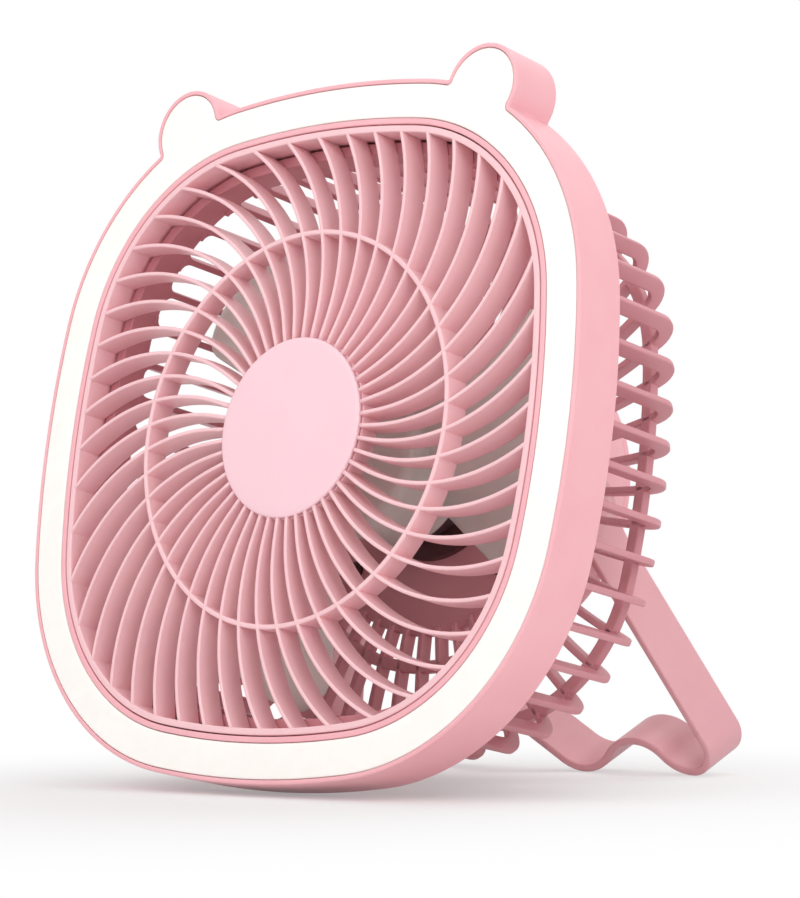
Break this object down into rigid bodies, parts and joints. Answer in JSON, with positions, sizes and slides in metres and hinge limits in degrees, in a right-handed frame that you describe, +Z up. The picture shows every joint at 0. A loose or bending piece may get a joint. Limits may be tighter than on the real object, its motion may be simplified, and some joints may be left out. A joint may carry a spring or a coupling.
{
  "type": "usb desk fan",
  "caption": "Rounded-square desk fan with two round ears, a light ring round a swirled grille, a ribbed rear cage, a motor pod and a folding strap stand with a wavy foot.",
  "frame": {"origin": "on the floor, under the middle of the part's box", "axes": "+Z up, the fan blows towards -Y, +X to the viewer's right from the front"},
  "size_m": [0.2036, 0.1352, 0.2083],
  "materials": {
    "frame_pink": "satin moulded pink plastic",
    "grille_pink": "satin moulded pink plastic",
    "cap_pink": "fine matt pale pink plastic",
    "stand_pink": "satin moulded pink plastic",
    "lens_white": "milky white light lens",
    "board_green": "green circuit board",
    "chip_yellow": "light chips with yellow phosphor",
    "blade_white": "pale translucent plastic",
    "screw_steel": "zinc-plated steel",
    "cell_wrap": "shrink-wrapped cell",
    "contact_metal": "plated spring brass",
    "switch_black": "black switch bodies",
    "socket_metal": "plated steel shell",
    "button_pink": "fine matt pale pink plastic",
    "motor_alloy": "die-cast alloy",
    "bearing_bronze": "sintered bronze",
    "core_steel": "stacked laminations",
    "coil_copper": "enamelled copper winding",
    "can_steel": "drawn steel cup",
    "magnet_grey": "ferrite ring",
    "washer_nylon": "nylon washer"
  },
  "bodies": {
    "head": {"front_frame": "frame_pink", "light_diffuser": "lens_white", "light_board": "board_green", "light_chips": "chip_yellow", "front_grille": "grille_pink", "hub_cap": "cap_pink", "rear_basket": "frame_pink", "rear_guard": "frame_pink", "basket_screws": "screw_steel", "rear_housing": "frame_pink", "housing_screws": "screw_steel", "housing_cover": "frame_pink", "cover_screws": "screw_steel", "battery_cell": "cell_wrap", "battery_contacts": "contact_metal", "control_board": "board_green", "tact_switches": "switch_black", "usb_socket": "socket_metal", "motor_base": "motor_alloy", "motor_screws": "screw_steel", "shaft_bearings": "bearing_bronze", "stator_core": "core_steel", "stator_coils": "coil_copper", "pivot_pins": "stand_pink", "friction_washers": "washer_nylon"},
    "rotor": {"impeller": "blade_white", "impeller_nut": "screw_steel", "motor_shaft": "screw_steel", "rotor_can": "can_steel", "rotor_magnet": "magnet_grey"},
    "stand": {"bail_stand": "stand_pink"},
    "light_button": {"light_button": "button_pink"},
    "speed_button": {"speed_button": "button_pink"}
  },
  "joints": [
    {"name": "impeller_spin", "type": "hinge", "parent": "head", "child": "rotor", "pos_m": [0, -0.00881, 0.09543], "axis": [0, -0.9792, 0.2028], "continuous": true},
    {"name": "stand_fold", "type": "hinge", "parent": "head", "child": "stand", "pos_m": [0, 0.03002, 0.07973], "axis": [1, 0, 0], "range_deg": [-32, 147]},
    {"name": "light_button_press", "type": "slide", "parent": "head", "child": "light_button", "axis": [0, -0.9792, 0.2028], "range_m": [0, 0.0008], "stiffness_N_per_m": 600},
    {"name": "speed_button_press", "type": "slide", "parent": "head", "child": "speed_button", "axis": [0, -0.9792, 0.2028], "range_m": [0, 0.0008], "stiffness_N_per_m": 600}
  ]
}
